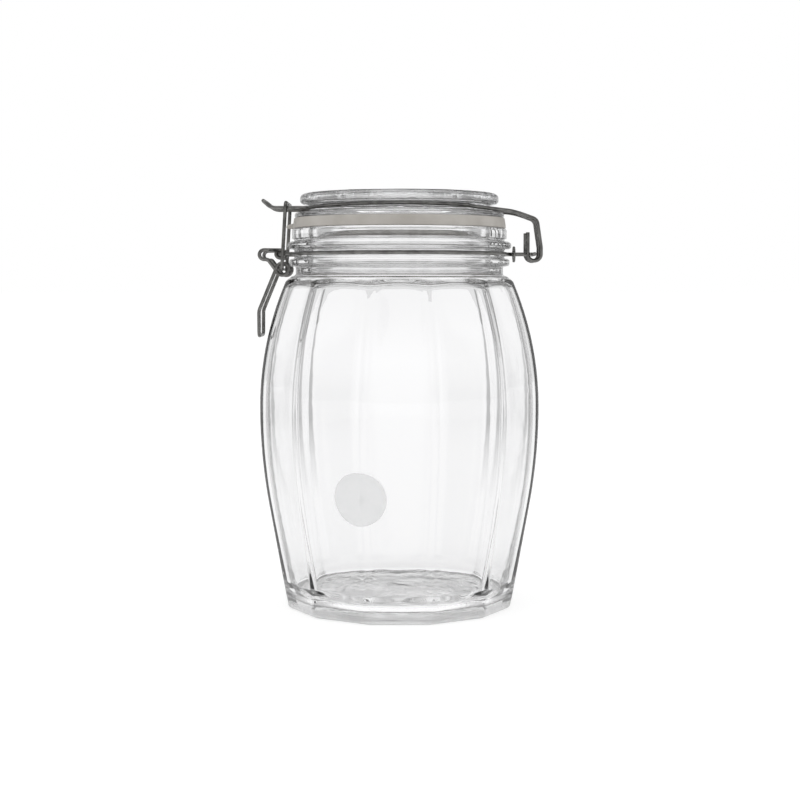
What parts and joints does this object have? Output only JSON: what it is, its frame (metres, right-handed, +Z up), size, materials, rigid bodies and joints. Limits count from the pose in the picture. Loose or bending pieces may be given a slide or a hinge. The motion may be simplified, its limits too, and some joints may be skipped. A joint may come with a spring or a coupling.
{
  "type": "clip-top glass storage jar",
  "caption": "Faceted barrel-shaped glass jar with a hinged glass lid, flat seal ring and bent-wire over-centre latch.",
  "frame": {"origin": "centre of the foot, on the plane that the jar stands on", "axes": "+Z up along the jar's axis, -X towards the latch, +X towards the hinge, joint axes along Y"},
  "size_m": [0.1334, 0.1294, 0.1936],
  "materials": {
    "clear_glass": "clear pressed glass",
    "lid_glass": "clear pressed glass",
    "seal_rubber": "matte taupe grey silicone",
    "wire_steel": "drawn stainless wire",
    "label_film": "blank frosted film sticker"
  },
  "bodies": {
    "jar": {"glass_jar": "clear_glass", "neck_wire": "wire_steel", "tie_ring": "wire_steel", "round_label": "label_film"},
    "lid": {"glass_lid": "lid_glass", "seal_ring": "seal_rubber", "lid_wire": "wire_steel"},
    "lever": {"latch_lever": "wire_steel"},
    "link": {"latch_link": "wire_steel"}
  },
  "joints": [
    {"name": "lid_hinge", "type": "hinge", "parent": "jar", "child": "lid", "pos_m": [0.0632, 0, 0.1652], "axis": [0, 1, 0], "range_deg": [0, 110]},
    {"name": "lever_swing", "type": "hinge", "parent": "jar", "child": "lever", "pos_m": [-0.0557, 0, 0.1652], "axis": [0, 1, 0], "range_deg": [0, 95]},
    {"name": "link_swing", "type": "hinge", "parent": "lever", "child": "link", "pos_m": [-0.0544, 0, 0.1581], "axis": [0, 1, 0], "range_deg": [-102, 0]}
  ],
  "couplings": [
    {"joint": "link_swing", "follows": "lever_swing", "ratio": -1.07}
  ]
}
